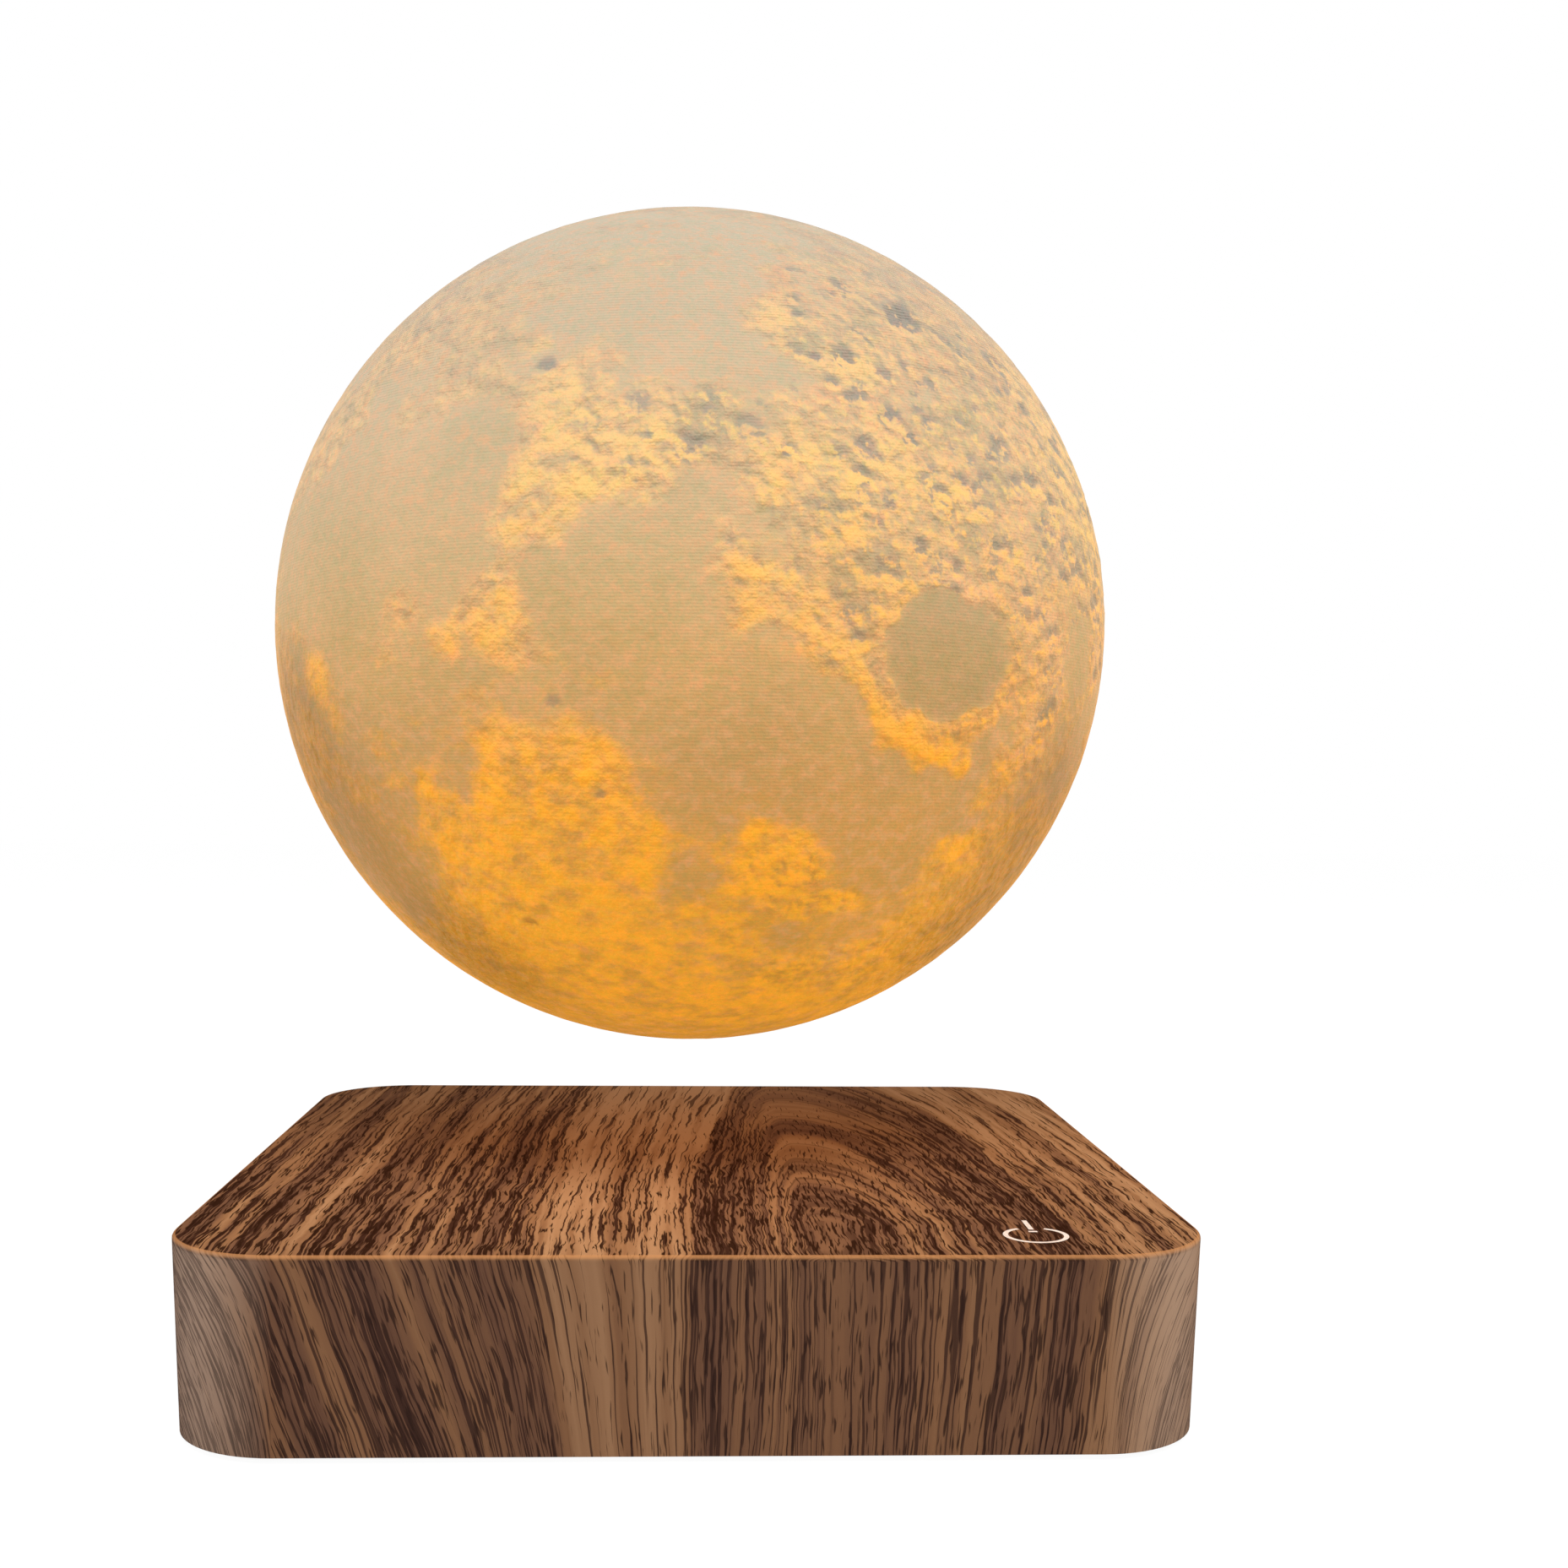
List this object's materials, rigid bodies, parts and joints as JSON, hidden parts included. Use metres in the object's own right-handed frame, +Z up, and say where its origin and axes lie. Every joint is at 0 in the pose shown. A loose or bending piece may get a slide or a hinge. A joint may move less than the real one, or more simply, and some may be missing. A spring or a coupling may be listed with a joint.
{
  "type": "levitating moon lamp",
  "caption": "Square wood-look base over which a lit, cratered moon shell floats and turns on magnets, with a touch switch and a DC inlet.",
  "frame": {"origin": "under the middle of the base, on the plane its feet stand on", "axes": "+Z up through the moon's centre; front, with the touch mark, towards -Y; +X to the right"},
  "size_m": [0.16, 0.16, 0.2065],
  "materials": {
    "wood_film": "walnut-print film over moulded ABS, satin",
    "white_print": "screen-printed white ink",
    "black_plastic": "fine-textured moulded ABS",
    "screw_steel": "zinc-plated steel",
    "circuit_board": "green solder mask on glass-epoxy",
    "light_board": "white solder mask on aluminium",
    "chip_black": "moulded epoxy",
    "capacitor_can": "sleeved aluminium can",
    "socket_plastic": "moulded nylon",
    "contact_metal": "nickel-plated brass",
    "magnet_plating": "nickel-plated magnet",
    "lead_insulation": "PVC-insulated wire",
    "ferrite": "sintered ferrite sheet",
    "copper_winding": "enamelled copper wire",
    "foam_tape": "double-sided foam tape",
    "moon_plastic": "printed PLA, translucent",
    "white_plastic": "moulded ABS",
    "core_steel": "soft iron",
    "foot_rubber": "moulded rubber",
    "warm_light": "warm white light-emitting diode",
    "white_light": "cool white light-emitting diode",
    "frosted_plastic": "frosted polycarbonate"
  },
  "bodies": {
    "base": {"base_cover": "wood_film", "board_screws": "screw_steel", "bottom_plate": "black_plastic", "case_screws": "screw_steel", "coil_bobbin_back_left": "white_plastic", "coil_bobbin_back_right": "white_plastic", "coil_bobbin_front_left": "white_plastic", "coil_bobbin_front_right": "white_plastic", "coil_core_back_left": "core_steel", "coil_core_back_right": "core_steel", "coil_core_front_left": "core_steel", "coil_core_front_right": "core_steel", "coil_winding_back_left": "copper_winding", "coil_winding_back_right": "copper_winding", "coil_winding_front_left": "copper_winding", "coil_winding_front_right": "copper_winding", "control_board": "circuit_board", "control_chip": "chip_black", "dc_jack": "black_plastic", "dc_jack_pin": "contact_metal", "driver_chips": "chip_black", "ferrite_sheet": "ferrite", "field_sensors": "chip_black", "filter_capacitors": "capacitor_can", "foot_back_left": "foot_rubber", "foot_back_right": "foot_rubber", "foot_front_left": "foot_rubber", "foot_front_right": "foot_rubber", "frame_screws": "screw_steel", "lead_sockets": "socket_plastic", "magnet_frame": "black_plastic", "magnet_leads": "lead_insulation", "power_mark": "white_print", "ring_magnet": "magnet_plating", "sensor_board": "circuit_board", "touch_board": "circuit_board", "touch_chip": "chip_black", "touch_lead": "lead_insulation", "touch_pad": "foam_tape", "transmit_coil": "copper_winding", "transmit_lead": "lead_insulation"},
    "float_magnet": {"float_magnet": "magnet_plating"},
    "moon": {"moon_shell": "moon_plastic", "bottom_cap": "moon_plastic", "float_frame": "white_plastic", "cap_screws": "screw_steel", "receiver_coil": "copper_winding", "receiver_leads": "lead_insulation", "receiver_board": "circuit_board", "receiver_screws": "screw_steel", "receiver_chips": "chip_black", "led_standoffs": "contact_metal", "led_board": "light_board", "led_screws": "screw_steel", "warm_leds": "warm_light", "white_leds": "white_light", "led_diffuser": "frosted_plastic", "led_lead": "lead_insulation"}
  },
  "joints": [
    {"name": "moon_lift", "type": "slide", "parent": "base", "child": "float_magnet", "axis": [0, 0, 1], "range_m": [-0.021, 0.1], "stiffness_N_per_m": 60, "springref_m": 0.04746},
    {"name": "moon_spin", "type": "hinge", "parent": "float_magnet", "child": "moon", "pos_m": [0, 0, 0.12975], "axis": [0, 0, 1], "continuous": true}
  ]
}
